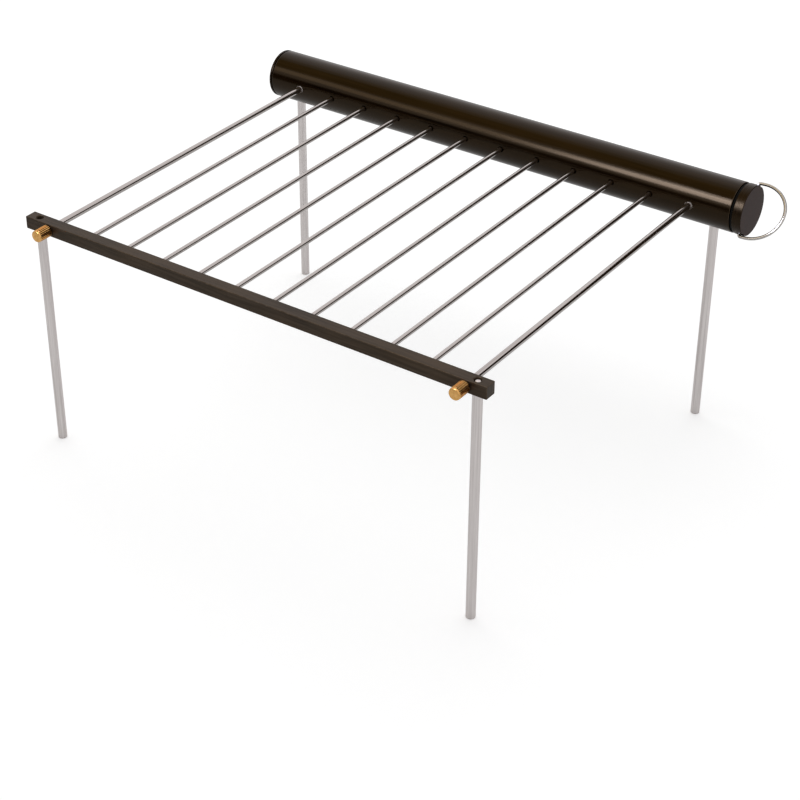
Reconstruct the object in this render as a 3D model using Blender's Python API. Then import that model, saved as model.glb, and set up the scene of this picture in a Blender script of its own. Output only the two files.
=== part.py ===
# Portable grill: a carrying tube that becomes the rear frame, twelve rods, a square
# front bar, four screwed-in legs, two knurled nuts and a screw cap with a wire bail.
# Units are metres, +Z is up, +X runs along the tube towards the cap and -Y is the front.

import math

import bmesh
import bpy
from mathutils import Matrix, Vector

# Fit between pieces
GAP = 0.0003
BORE_STEPS = 24
TUBE_STEPS = 72
DRILL_OVERRUN = 0.002

# Grill rods
ROD_COUNT = 12
ROD_PITCH = 0.027
ROD_HEIGHT = 0.155
ROD_SPAN = 0.260
GRILL_ROD_DIAMETER = 0.003
GRILL_ROD_SEAT_DEPTH = 0.0055
CLAMP_ROD_DIAMETER = 0.004
CLAMP_ROD_REACH = 0.006
CLAMP_NECK_DIAMETER = 0.003
CLAMP_NECK_IN_NUT = 0.007
ROD_CHAMFER = 0.0004

# Tube and its plug
TUBE_DIAMETER = 0.032
TUBE_WALL = 0.0025
TUBE_LEFT_MARGIN = 0.024
TUBE_RIGHT_MARGIN = 0.027
TUBE_EDGE = 0.0004
PLUG_HEAD = 0.002
PLUG_EDGE = 0.0006
PLUG_SPIGOT = 0.008
ROD_HOLE_EDGE = 0.0004

# Screw cap and seal
CAP_HEAD = 0.006
CAP_EDGE = 0.0005
CAP_THREAD_DIAMETER = 0.028
CAP_THREAD_LENGTH = 0.006
CAP_THREAD_EDGE = 0.0008
CAP_NECK_DIAMETER = 0.0254
CAP_NECK_LENGTH = 0.0026
CAP_RECESS_SPARE = 0.0018
SEAL_THICKNESS = 0.0012
SEAL_DIAMETER = 0.0306
SEAL_EDGE = 0.0002

# Bail
BAIL_WIRE = 0.0020
BAIL_SIDE_CLEARANCE = 0.0004
BAIL_SIDE = 0.0047
BAIL_ARC = 0.0212
BAIL_BEND = 0.0018
BAIL_TO_FACE = 0.0025
BAIL_INSERT = 0.0045
BAIL_HOLE_SPARE = 0.0006
BAIL_RELIEF_WIDTH = 0.0034
BAIL_RELIEF_DEPTH = 0.0008
BAIL_TILT = math.radians(40.0)
BAIL_SWING = math.radians(-15.0)

# Front bar
BAR_SIZE = 0.008
BAR_END_MARGIN = 0.008
BAR_EDGE = 0.0003

# Legs
LEG_DIAMETER = 0.0058
LEG_STUD_DIAMETER = 0.004
LEG_STUD_FRONT_LEFT = 0.0050
LEG_STUD_FRONT_RIGHT = 0.0072
LEG_STUD_REAR = 0.006
LEG_EDGE = 0.0005
LEG_STUD_EDGE = 0.0006
LEG_HOLE_EDGE = 0.0004
FRONT_LEG_OUTSET_LEFT = 0.010
FRONT_LEG_OUTSET_RIGHT = 0.0055
REAR_LEG_OUTSET = 0.011

# Thumb nuts
NUT_DIAMETER = 0.0075
NUT_LENGTH = 0.010
NUT_EDGE = 0.0005
NUT_BORE_SPARE = 0.0006

# Places worked out from the sizes above, with rod 1 on the bar's centre line at x = 0, y = 0
TUBE_RADIUS = TUBE_DIAMETER / 2
TUBE_BORE_RADIUS = TUBE_RADIUS - TUBE_WALL
LAST_ROD_X = ROD_PITCH * (ROD_COUNT - 1)
TUBE_LEFT_X = -TUBE_LEFT_MARGIN
TUBE_RIGHT_X = LAST_ROD_X + TUBE_RIGHT_MARGIN
PLUG_FACE_X = TUBE_LEFT_X - GAP - PLUG_HEAD
CAP_HEAD_X = TUBE_RIGHT_X + GAP + SEAL_THICKNESS + GAP
CAP_FACE_X = CAP_HEAD_X + CAP_HEAD
CAP_RECESS_RADIUS = CAP_THREAD_DIAMETER / 2 + GAP
CAP_SPIGOT_LENGTH = CAP_NECK_LENGTH + CAP_THREAD_LENGTH
CAP_RECESS_DEPTH = CAP_SPIGOT_LENGTH - (CAP_HEAD_X - TUBE_RIGHT_X) + CAP_RECESS_SPARE
BAIL_X = CAP_FACE_X - BAIL_TO_FACE
BAIL_HALF_WIDTH = TUBE_RADIUS + BAIL_SIDE_CLEARANCE + BAIL_WIRE / 2
BAR_HALF = BAR_SIZE / 2
BAR_LEFT_X = -FRONT_LEG_OUTSET_LEFT - BAR_END_MARGIN
BAR_RIGHT_X = LAST_ROD_X + FRONT_LEG_OUTSET_RIGHT + BAR_END_MARGIN
NUT_FACE_Y = -BAR_HALF - GAP - NUT_LENGTH
CLAMP_WALL_Y = math.sqrt(TUBE_BORE_RADIUS ** 2 - (CLAMP_ROD_DIAMETER / 2) ** 2)
CLAMP_END_Y = ROD_SPAN - CLAMP_WALL_Y + CLAMP_ROD_REACH
GRILL_ROD_WALL_Y = math.sqrt(TUBE_BORE_RADIUS ** 2 - (GRILL_ROD_DIAMETER / 2) ** 2)
GRILL_ROD_START_Y = BAR_HALF - GRILL_ROD_SEAT_DEPTH + GAP
GRILL_ROD_END_Y = ROD_SPAN + GRILL_ROD_WALL_Y - GAP


def grill_offset():
    """Return the shift that puts the middle of the whole grill's outline over the origin."""
    bail_out = (BAIL_SIDE + BAIL_ARC) * math.cos(BAIL_SWING) + BAIL_WIRE / 2
    right_x = BAIL_X + bail_out
    backwards = math.sin(BAIL_SWING) * math.cos(BAIL_TILT)
    half_back = BAIL_HALF_WIDTH * math.sin(BAIL_TILT)
    arc_back = math.hypot(half_back, BAIL_ARC * backwards) if backwards > 0.0 else half_back
    bail_back = BAIL_SIDE * backwards + arc_back + BAIL_WIRE / 2
    back_y = ROD_SPAN + max(TUBE_RADIUS, bail_back)
    return Vector((-(PLUG_FACE_X + right_x) / 2, -(NUT_FACE_Y + back_y) / 2, 0.0))


def clear_scene():
    """Remove every object that the new scene starts with."""
    for item in list(bpy.data.objects):
        bpy.data.objects.remove(item, do_unlink=True)


def make_material(name, colour, roughness, metallic):
    """Return a plain Principled material."""
    material = bpy.data.materials.new(name)
    material.use_nodes = True
    shader = material.node_tree.nodes["Principled BSDF"]
    shader.inputs["Base Color"].default_value = (*colour, 1.0)
    shader.inputs["Roughness"].default_value = roughness
    shader.inputs["Metallic"].default_value = metallic
    material.diffuse_color = (*colour, 1.0)
    return material


def add_object(name, mesh, material, parent, place, turn=None):
    """Put a mesh into the scene under a parent, at a place and with an optional turn."""
    item = bpy.data.objects.new(name, mesh)
    bpy.context.collection.objects.link(item)
    if material is not None:
        mesh.materials.append(material)
    item.parent = parent
    item.location = place
    if turn is not None:
        item.rotation_euler = turn.to_euler()
    return item


def add_empty(name, parent, place, turn=None):
    """Put an empty into the scene to carry other objects."""
    item = bpy.data.objects.new(name, None)
    bpy.context.collection.objects.link(item)
    item.empty_display_size = 0.01
    item.parent = parent
    item.location = place
    if turn is not None:
        item.rotation_euler = turn.to_euler()
    return item


def shade_round(mesh):
    """Shade a turned mesh smooth, with its real edges kept sharp."""
    mesh.shade_smooth()
    mesh.set_sharp_from_angle(angle=math.radians(35.0))


def add_ring(shape, place, along, radius, steps):
    """Add a ring of points about a placed +Z line to a bmesh, or one point where the radius is 0."""
    if radius == 0.0:
        return [shape.verts.new(place @ Vector((0.0, 0.0, along)))]
    ring = []
    for step in range(steps):
        angle = math.tau * (step + 0.5) / steps
        point = Vector((radius * math.cos(angle), radius * math.sin(angle), along))
        ring.append(shape.verts.new(place @ point))
    return ring


def bridge_rings(shape, low, high, steps):
    """Close the band between two rings, either of which may be a single point."""
    for step in range(steps):
        after = (step + 1) % steps
        lower = [low[step % len(low)], low[after % len(low)]]
        upper = [high[after % len(high)], high[step % len(high)]]
        corners = list(dict.fromkeys(lower + upper))
        if len(corners) > 2:
            shape.faces.new(corners)


def add_turned(shape, profile, steps, place):
    """Turn a profile of (distance along, radius) points about a placed +Z line, inside a bmesh.

    A profile that starts and ends on the axis gives a solid. Any other is closed into a ring.
    """
    rings = [add_ring(shape, place, along, radius, steps) for along, radius in profile]
    pairs = list(zip(rings, rings[1:]))
    if profile[0][1] > 0.0:
        pairs.append((rings[-1], rings[0]))
    for low, high in pairs:
        bridge_rings(shape, low, high, steps)


def turned_mesh(name, profile, steps):
    """Return the smooth mesh of a profile turned about local +Z."""
    shape = bmesh.new()
    add_turned(shape, profile, steps, Matrix.Identity(4))
    bmesh.ops.recalc_face_normals(shape, faces=shape.faces)
    mesh = bpy.data.meshes.new(name)
    shape.to_mesh(mesh)
    shape.free()
    shade_round(mesh)
    return mesh


def along_x():
    """Return the turn that lays local +Z along +X."""
    return Matrix.Rotation(math.radians(90.0), 4, "Y")


def along_y():
    """Return the turn that lays local +Z along +Y."""
    return Matrix.Rotation(math.radians(-90.0), 4, "X")


def pin_profile(start, end, radius, edge):
    """Return the profile of a plain pin with chamfered ends."""
    return [
        (start, 0.0),
        (start, radius - edge),
        (start + edge, radius),
        (end - edge, radius),
        (end, radius - edge),
        (end, 0.0),
    ]


def add_drill(shape, mouth, direction, radius, depth, edge):
    """Add a drill to a bmesh: it enters at a mouth, along a direction, and may chamfer the mouth."""
    turn = direction.to_track_quat("Z", "Y").to_matrix().to_4x4()
    profile = [
        (-DRILL_OVERRUN, 0.0),
        (-DRILL_OVERRUN, radius + edge),
        (0.0, radius + edge),
        (edge, radius),
        (depth, radius),
        (depth, 0.0),
    ]
    if edge == 0.0:
        del profile[2:4]
    add_turned(shape, profile, BORE_STEPS, Matrix.Translation(mouth) @ turn)


def add_cutter(target, shape, name):
    """Turn a bmesh of drills into a hidden cutter and subtract it from an object."""
    bmesh.ops.recalc_face_normals(shape, faces=shape.faces)
    mesh = bpy.data.meshes.new(name)
    shape.to_mesh(mesh)
    shape.free()
    cutter = add_object(name, mesh, None, target.parent, Vector((0.0, 0.0, 0.0)))
    cutter.hide_render = True
    cutter.display_type = "WIRE"
    cut = target.modifiers.new(name, "BOOLEAN")
    cut.operation = "DIFFERENCE"
    cut.solver = "EXACT"
    cut.object = cutter
    return cutter


def rod_x(number):
    """Return the place along the grill of a rod, counted from 1 at the left."""
    return ROD_PITCH * (number - 1)


def is_clamp_rod(number):
    """Say whether a rod is one of the two thick outer ones."""
    return number in (1, ROD_COUNT)


def make_tube(parent, material):
    """Make the carrying tube: a bored tube, recessed for the cap and drilled for rods and legs."""
    length = TUBE_RIGHT_X - TUBE_LEFT_X
    recess_start = length - CAP_RECESS_DEPTH
    profile = [
        (0.0, TUBE_BORE_RADIUS),
        (0.0, TUBE_RADIUS - TUBE_EDGE),
        (TUBE_EDGE, TUBE_RADIUS),
        (length - TUBE_EDGE, TUBE_RADIUS),
        (length, TUBE_RADIUS - TUBE_EDGE),
        (length, CAP_RECESS_RADIUS + TUBE_EDGE),
        (length - TUBE_EDGE, CAP_RECESS_RADIUS),
        (recess_start, CAP_RECESS_RADIUS),
        (recess_start, TUBE_BORE_RADIUS),
    ]
    mesh = turned_mesh("tube", profile, TUBE_STEPS)
    place = Vector((TUBE_LEFT_X, ROD_SPAN, ROD_HEIGHT))
    tube = add_object("tube", mesh, material, parent, place, along_x())
    shape = bmesh.new()
    for number in range(1, ROD_COUNT + 1):
        diameter = CLAMP_ROD_DIAMETER if is_clamp_rod(number) else GRILL_ROD_DIAMETER
        mouth = Vector((rod_x(number), ROD_SPAN - TUBE_RADIUS, ROD_HEIGHT))
        radius = diameter / 2 + GAP
        add_drill(shape, mouth, Vector((0.0, 1.0, 0.0)), radius, 2 * TUBE_WALL, ROD_HOLE_EDGE)
    for x in rear_leg_places():
        mouth = Vector((x, ROD_SPAN, ROD_HEIGHT - TUBE_RADIUS))
        radius = LEG_STUD_DIAMETER / 2 + GAP
        add_drill(shape, mouth, Vector((0.0, 0.0, 1.0)), radius, 2 * TUBE_WALL, 0.0)
    add_cutter(tube, shape, "tube_drills")
    return tube


def make_end_plug(parent, material):
    """Make the plug in the tube's left end: a flush rim band and a spigot in the bore."""
    spigot_radius = TUBE_BORE_RADIUS - GAP
    spigot_end = PLUG_HEAD + GAP + PLUG_SPIGOT
    profile = [
        (0.0, 0.0),
        (0.0, TUBE_RADIUS - PLUG_EDGE),
        (PLUG_EDGE, TUBE_RADIUS),
        (PLUG_HEAD, TUBE_RADIUS),
        (PLUG_HEAD, spigot_radius),
        (spigot_end - PLUG_EDGE, spigot_radius),
        (spigot_end, spigot_radius - PLUG_EDGE),
        (spigot_end, 0.0),
    ]
    mesh = turned_mesh("end_plug", profile, TUBE_STEPS)
    place = Vector((PLUG_FACE_X, ROD_SPAN, ROD_HEIGHT))
    return add_object("end_plug", mesh, material, parent, place, along_x())


def make_grill_rod(number, parent, material):
    """Make one plain rod, from its blind hole in the bar to the tube's far wall."""
    profile = pin_profile(GRILL_ROD_START_Y, GRILL_ROD_END_Y, GRILL_ROD_DIAMETER / 2, ROD_CHAMFER)
    name = f"grill_rod_{number:02d}"
    place = Vector((rod_x(number), 0.0, ROD_HEIGHT))
    return add_object(name, turned_mesh(name, profile, BORE_STEPS), material, parent, place, along_y())


def make_clamp_rod(name, number, parent, material):
    """Make one outer rod: a thick shank shouldered on the bar, with a neck through to its nut."""
    shank = CLAMP_ROD_DIAMETER / 2
    neck = CLAMP_NECK_DIAMETER / 2
    shoulder_y = BAR_HALF + GAP
    neck_end_y = -BAR_HALF - GAP - CLAMP_NECK_IN_NUT
    profile = [
        (neck_end_y, 0.0),
        (neck_end_y, neck - ROD_CHAMFER),
        (neck_end_y + ROD_CHAMFER, neck),
        (shoulder_y, neck),
        (shoulder_y, shank - ROD_CHAMFER / 2),
        (shoulder_y + ROD_CHAMFER / 2, shank),
        (CLAMP_END_Y - ROD_CHAMFER, shank),
        (CLAMP_END_Y, shank - ROD_CHAMFER),
        (CLAMP_END_Y, 0.0),
    ]
    place = Vector((rod_x(number), 0.0, ROD_HEIGHT))
    return add_object(name, turned_mesh(name, profile, BORE_STEPS), material, parent, place, along_y())


def make_front_bar(parent, material):
    """Make the square bar, drilled blind for the thin rods and through for clamp rods and legs."""
    shape = bmesh.new()
    bmesh.ops.create_cube(shape, size=1.0)
    size = Vector((BAR_RIGHT_X - BAR_LEFT_X, BAR_SIZE, BAR_SIZE))
    middle = Vector(((BAR_LEFT_X + BAR_RIGHT_X) / 2, 0.0, ROD_HEIGHT))
    bmesh.ops.scale(shape, vec=size, verts=shape.verts)
    bmesh.ops.bevel(shape, geom=shape.edges[:], offset=BAR_EDGE, segments=1, affect="EDGES")
    mesh = bpy.data.meshes.new("front_bar")
    shape.to_mesh(mesh)
    shape.free()
    bar = add_object("front_bar", mesh, material, parent, middle)
    drills = bmesh.new()
    for number in range(1, ROD_COUNT + 1):
        if is_clamp_rod(number):
            mouth = Vector((rod_x(number), -BAR_HALF, ROD_HEIGHT))
            radius = CLAMP_NECK_DIAMETER / 2 + GAP
            add_drill(drills, mouth, Vector((0.0, 1.0, 0.0)), radius, 2 * BAR_SIZE, 0.0)
        else:
            mouth = Vector((rod_x(number), BAR_HALF, ROD_HEIGHT))
            radius = GRILL_ROD_DIAMETER / 2 + GAP
            add_drill(drills, mouth, Vector((0.0, -1.0, 0.0)), radius, GRILL_ROD_SEAT_DEPTH, 0.0)
    for x in front_leg_places():
        mouth = Vector((x, 0.0, ROD_HEIGHT + BAR_HALF))
        radius = LEG_STUD_DIAMETER / 2 + GAP
        add_drill(drills, mouth, Vector((0.0, 0.0, -1.0)), radius, 2 * BAR_SIZE, LEG_HOLE_EDGE)
    add_cutter(bar, drills, "bar_drills")
    return bar


def front_leg_places():
    """Return where the two front legs stand along the grill."""
    return (-FRONT_LEG_OUTSET_LEFT, LAST_ROD_X + FRONT_LEG_OUTSET_RIGHT)


def rear_leg_places():
    """Return where the two rear legs stand along the grill."""
    return (-REAR_LEG_OUTSET, LAST_ROD_X + REAR_LEG_OUTSET)


def make_leg(name, x, y, shoulder_z, stud_length, parent, material):
    """Make one leg that stands on the ground, with a threaded stud on its top shoulder."""
    shank = LEG_DIAMETER / 2
    stud = LEG_STUD_DIAMETER / 2
    top = shoulder_z + GAP + stud_length
    profile = [
        (0.0, 0.0),
        (0.0, shank - LEG_EDGE),
        (LEG_EDGE, shank),
        (shoulder_z - LEG_EDGE / 2, shank),
        (shoulder_z, shank - LEG_EDGE / 2),
        (shoulder_z, stud),
        (top - LEG_STUD_EDGE, stud),
        (top, stud - LEG_STUD_EDGE),
        (top, 0.0),
    ]
    mesh = turned_mesh(name, profile, BORE_STEPS)
    return add_object(name, mesh, material, parent, Vector((x, y, 0.0)))


def make_legs(parent, material):
    """Make the four legs, the front pair into the bar and the rear pair into the tube."""
    front_shoulder = ROD_HEIGHT - BAR_HALF - GAP
    rear_shoulder = ROD_HEIGHT - TUBE_RADIUS - GAP
    front_studs = (LEG_STUD_FRONT_LEFT, LEG_STUD_FRONT_RIGHT)
    for side, x, stud in zip(("left", "right"), front_leg_places(), front_studs):
        make_leg(f"leg_front_{side}", x, 0.0, front_shoulder, stud, parent, material)
    for side, x in zip(("left", "right"), rear_leg_places()):
        make_leg(f"leg_rear_{side}", x, ROD_SPAN, rear_shoulder, LEG_STUD_REAR, parent, material)


def make_thumb_nut(name, number, parent, material):
    """Make one blind nut with its open bore against the bar."""
    radius = NUT_DIAMETER / 2
    bore = CLAMP_NECK_DIAMETER / 2 + GAP
    bore_end = NUT_LENGTH - CLAMP_NECK_IN_NUT - NUT_BORE_SPARE
    profile = [
        (0.0, 0.0),
        (0.0, radius - NUT_EDGE),
        (NUT_EDGE, radius),
        (NUT_LENGTH - NUT_EDGE, radius),
        (NUT_LENGTH, radius - NUT_EDGE),
        (NUT_LENGTH, bore),
        (bore_end, bore),
        (bore_end, 0.0),
    ]
    place = Vector((rod_x(number), NUT_FACE_Y, ROD_HEIGHT))
    return add_object(name, turned_mesh(name, profile, BORE_STEPS), material, parent, place, along_y())


def make_cap_seal(parent, material):
    """Make the flat rubber ring that is squeezed between the cap's head and the tube."""
    inner = CAP_NECK_DIAMETER / 2 + GAP
    outer = SEAL_DIAMETER / 2
    profile = [
        (0.0, inner),
        (0.0, outer - SEAL_EDGE),
        (SEAL_EDGE, outer),
        (SEAL_THICKNESS - SEAL_EDGE, outer),
        (SEAL_THICKNESS, outer - SEAL_EDGE),
        (SEAL_THICKNESS, inner),
    ]
    mesh = turned_mesh("cap_seal", profile, TUBE_STEPS)
    place = Vector((TUBE_RIGHT_X + GAP, ROD_SPAN, ROD_HEIGHT))
    return add_object("cap_seal", mesh, material, parent, place, along_x())


def bail_relief(shape, side):
    """Add to a bmesh the milled slot round one bail hole, open at the cap's face."""
    half = BAIL_RELIEF_WIDTH / 2
    floor = TUBE_RADIUS - BAIL_RELIEF_DEPTH
    arc_steps = BORE_STEPS // 2
    outline = [(CAP_HEAD, -half), (CAP_HEAD, half)]
    for step in range(arc_steps + 1):
        angle = math.pi / 2 + math.pi * step / arc_steps
        outline.append((half * math.cos(angle) - BAIL_TO_FACE, half * math.sin(angle)))
    rings = []
    for radius in (floor, TUBE_RADIUS + BAIL_RELIEF_DEPTH):
        points = [(CAP_HEAD + along, across, side * radius) for along, across in outline]
        rings.append([shape.verts.new(point) for point in points])
    shape.faces.new(rings[0])
    shape.faces.new(rings[1])
    for step in range(len(outline)):
        after = (step + 1) % len(outline)
        shape.faces.new((rings[0][step], rings[0][after], rings[1][after], rings[1][step]))


def make_screw_cap(parent, material):
    """Make the cap: a flat head with an undercut, a threaded spigot and two side holes.

    The parent's +Z is the bail's hinge line and its +X points out of the tube.
    """
    head_start = CAP_SPIGOT_LENGTH
    thread = CAP_THREAD_DIAMETER / 2
    neck = CAP_NECK_DIAMETER / 2
    face = head_start + CAP_HEAD
    profile = [
        (0.0, 0.0),
        (0.0, thread - CAP_THREAD_EDGE),
        (CAP_THREAD_EDGE, thread),
        (CAP_THREAD_LENGTH, thread),
        (CAP_THREAD_LENGTH, neck),
        (head_start, neck),
        (head_start, TUBE_RADIUS - CAP_EDGE),
        (head_start + CAP_EDGE, TUBE_RADIUS),
        (face - CAP_EDGE, TUBE_RADIUS),
        (face, TUBE_RADIUS - CAP_EDGE),
        (face, 0.0),
    ]
    mesh = turned_mesh("screw_cap", profile, TUBE_STEPS)
    place = Vector((-CAP_SPIGOT_LENGTH, 0.0, 0.0))
    cap = add_object("screw_cap", mesh, material, parent, place, along_x())
    shape = bmesh.new()
    for side in (-1.0, 1.0):
        bail_relief(shape, side)
    add_cutter(cap, shape, "cap_reliefs")
    shape = bmesh.new()
    depth = TUBE_RADIUS - bail_end_radius() + BAIL_HOLE_SPARE
    for side in (-1.0, 1.0):
        mouth = Vector((CAP_HEAD - BAIL_TO_FACE, 0.0, side * TUBE_RADIUS))
        add_drill(shape, mouth, Vector((0.0, 0.0, -side)), BAIL_WIRE / 2 + GAP, depth, 0.0)
    add_cutter(cap, shape, "cap_drills")
    return cap


def bail_end_radius():
    """Return how far from the cap's centre the bail's bent-in ends stop."""
    return TUBE_RADIUS - BAIL_INSERT


def bail_points():
    """Return the wire's centre line: in from one hole, round the loop and into the other.

    The points lie in the plane of local X, the reach, and local Z, the hinge line.
    """
    bend_centre = BAIL_HALF_WIDTH - BAIL_BEND
    bend_steps = 6
    arc_steps = 36
    half = [(0.0, bail_end_radius())]
    for step in range(bend_steps + 1):
        angle = math.pi / 2 * step / bend_steps
        reach = BAIL_BEND * (1.0 - math.cos(angle))
        half.append((reach, bend_centre + BAIL_BEND * math.sin(angle)))
    for step in range(arc_steps // 2):
        angle = math.pi * step / arc_steps
        half.append((BAIL_SIDE + BAIL_ARC * math.sin(angle), BAIL_HALF_WIDTH * math.cos(angle)))
    top = (BAIL_SIDE + BAIL_ARC, 0.0)
    points = half + [top] + [(reach, -across) for reach, across in reversed(half)]
    return [Vector((reach, 0.0, across)) for reach, across in points]


def make_cap_bail(parent, material):
    """Make the wire bail on its hinge line, swept along its real bends."""
    curve = bpy.data.curves.new("cap_bail", "CURVE")
    curve.dimensions = "3D"
    curve.bevel_depth = BAIL_WIRE / 2
    curve.bevel_resolution = 3
    curve.use_fill_caps = True
    curve.twist_mode = "MINIMUM"
    points = bail_points()
    spline = curve.splines.new("POLY")
    spline.points.add(len(points) - 1)
    for slot, point in zip(spline.points, points):
        slot.co = (*point, 1.0)
    spline.use_smooth = True
    place = Vector((CAP_HEAD - BAIL_TO_FACE, 0.0, 0.0))
    turn = Matrix.Rotation(BAIL_SWING, 4, "Z")
    return add_object("cap_bail", curve, material, parent, place, turn)


def build_grill():
    """Make every piece of the grill."""
    dark = make_material("dark_anodised", (0.055, 0.045, 0.035), 0.38, 0.85)
    steel = make_material("stainless_rod", (0.62, 0.60, 0.58), 0.22, 1.0)
    leg_steel = make_material("satin_stainless", (0.60, 0.56, 0.53), 0.38, 1.0)
    brass = make_material("brass", (0.72, 0.48, 0.17), 0.30, 1.0)
    rubber = make_material("black_rubber", (0.012, 0.012, 0.012), 0.60, 0.0)

    frame = add_empty("grill_frame", None, grill_offset())
    make_tube(frame, dark)
    make_end_plug(frame, dark)
    make_front_bar(frame, dark)
    make_clamp_rod("clamp_rod_left", 1, frame, steel)
    make_clamp_rod("clamp_rod_right", ROD_COUNT, frame, steel)
    for number in range(2, ROD_COUNT):
        make_grill_rod(number, frame, steel)
    make_legs(frame, leg_steel)
    make_thumb_nut("thumb_nut_left", 1, frame, brass)
    make_thumb_nut("thumb_nut_right", ROD_COUNT, frame, brass)

    make_cap_seal(frame, rubber)
    cap_turn = Matrix.Rotation(-BAIL_TILT, 4, "X")
    cap_frame = add_empty("cap_frame", frame, Vector((CAP_HEAD_X, ROD_SPAN, ROD_HEIGHT)), cap_turn)
    make_screw_cap(cap_frame, dark)
    make_cap_bail(cap_frame, steel)


clear_scene()
build_grill()
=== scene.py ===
import math

import bmesh
import bpy
from mathutils import Matrix, Vector


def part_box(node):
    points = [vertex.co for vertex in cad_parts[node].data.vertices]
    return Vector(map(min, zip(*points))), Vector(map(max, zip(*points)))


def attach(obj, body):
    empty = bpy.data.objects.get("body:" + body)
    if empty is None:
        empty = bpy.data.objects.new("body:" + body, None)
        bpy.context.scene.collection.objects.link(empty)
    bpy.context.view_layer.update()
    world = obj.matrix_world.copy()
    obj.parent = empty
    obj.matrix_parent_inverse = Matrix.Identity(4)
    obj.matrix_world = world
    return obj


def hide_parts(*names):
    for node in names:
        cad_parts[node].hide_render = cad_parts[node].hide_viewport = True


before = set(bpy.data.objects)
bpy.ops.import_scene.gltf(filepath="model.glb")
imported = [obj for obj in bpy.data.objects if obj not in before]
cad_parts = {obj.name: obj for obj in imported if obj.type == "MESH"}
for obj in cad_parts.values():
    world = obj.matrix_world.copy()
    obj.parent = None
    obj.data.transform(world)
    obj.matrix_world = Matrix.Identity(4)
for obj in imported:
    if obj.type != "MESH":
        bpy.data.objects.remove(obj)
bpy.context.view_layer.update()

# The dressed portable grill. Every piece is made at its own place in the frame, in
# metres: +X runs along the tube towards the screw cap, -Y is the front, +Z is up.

# Roundness of turned pieces, in steps per turn
TUBE_STEPS = 192
ROD_STEPS = 40
NUT_STEPS = 80
DRILL_STEPS = 48
WIRE_SIDES = 20
THREAD_STEPS = 36

# Fineness of the other shapes
EASE_STEPS = 4
BEND_STEPS = 10
ARC_STEPS = 72
RING_SPACING = 0.009
DRILL_OVERRUN = 0.002
SHARP_EDGE = math.radians(32.0)

# How much of an axis a face's normal has, at least, where the face lies flat across it
# and where it only slopes to it
FLAT = 0.97
SLOPED = 0.15

# Ways to drill
BACKWARD = Vector((0.0, 1.0, 0.0))
FORWARD = Vector((0.0, -1.0, 0.0))
UPWARD = Vector((0.0, 0.0, 1.0))
DOWNWARD = Vector((0.0, 0.0, -1.0))

# Fit between pieces
GAP = 0.0003

# Threads. A ridge is sunk a little into its shank, and fades out at both ends.
FINE_PITCH = 0.0007
FINE_RIDGE = 0.0002
FINE_THREAD_WIDTH = 0.0005
THREAD_LEAD = 0.0003
THREAD_SUNK = 0.00008
THREAD_CREST_SHARE = 0.28
THREAD_RISE_PER_TURN = 3.0
THREAD_END_SHARE = 0.03

# Rods
ROD_COUNT = 12
GRILL_ROD_RADIUS = 0.0015
CLAMP_ROD_RADIUS = 0.002
CLAMP_NECK_RADIUS = 0.0015
ROD_CHAMFER = 0.0004
CLAMP_THREAD_LENGTH = 0.009

# Tube, plug, seal and cap
TUBE_RADIUS = 0.016
TUBE_WALL = 0.0025
TUBE_BORE_RADIUS = TUBE_RADIUS - TUBE_WALL
TUBE_EDGE = 0.0004
TUBE_PLAIN_END = 3 * TUBE_EDGE
THROUGH_WALL = 2 * TUBE_WALL
SEAM_EDGE = 0.0007
ROD_HOLE_EDGE = 0.0004
PLUG_HEAD = 0.002
PLUG_EDGE = 0.0005
CAP_HEAD = 0.006
CAP_EDGE = 0.0005
CAP_NECK_RADIUS = 0.0127
CAP_NECK_LENGTH = 0.0026
CAP_THREAD_RADIUS = 0.014
CAP_THREAD_ROOT = 0.01325
CAP_THREAD_LENGTH = 0.006
CAP_THREAD_PITCH = 0.0015
CAP_THREAD_WIDTH = 0.0013
CAP_RECESS_RADIUS = CAP_THREAD_RADIUS + GAP
CAP_RECESS_DEPTH = 0.0086
CAP_RECESS_CREST = 0.0138
SEAL_EDGE = 0.0003

# Wire bail
BAIL_WIRE_RADIUS = 0.001
BAIL_SIDE = 0.0047
BAIL_ARC = 0.0212
BAIL_BEND = 0.0018
BAIL_TO_FACE = 0.0025
BAIL_INSERT = 0.0045
BAIL_END_RADIUS = TUBE_RADIUS - BAIL_INSERT
BAIL_HOLE_SPARE = 0.0006
BAIL_HALF_WIDTH = TUBE_RADIUS + 0.0004 + BAIL_WIRE_RADIUS
BAIL_RELIEF_WIDTH = 0.0034
BAIL_RELIEF_DEPTH = 0.0008
BAIL_TILT = math.radians(40.0)
BAIL_SWING = math.radians(-15.0)

# Bar, legs and nuts
BAR_EDGE = 0.0004
BAR_ROD_SEAT = 0.0055
LEG_RADIUS = 0.0029
LEG_STUD_RADIUS = 0.002
LEG_STUD_ROOT = 0.0017
LEG_EDGE = 0.0005
LEG_STUD_EDGE = 0.0006
LEG_HOLE_EDGE = 0.0004
NUT_RADIUS = 0.00375
NUT_RIM_RADIUS = NUT_RADIUS - 0.0001
NUT_CORE_RADIUS = 0.0034
NUT_EDGE = 0.0006
NUT_PLAIN_RIM = 0.0010
NUT_RIM_EDGE = 0.0001
NUT_RIM_STEP = 0.0002
NUT_BORE_EDGE = 0.0002
NUT_BORE_SPARE = 0.0006
NUT_THREAD_LEAD = 0.0005
NUT_RIDGES = 22
NUT_RIDGE_SHARE = 0.66
NUT_CREST_SHARE = 0.42
NUT_RIDGE_TAPER = 0.0003
NUT_RIDGE_TIP_SHARE = 0.25

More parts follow.
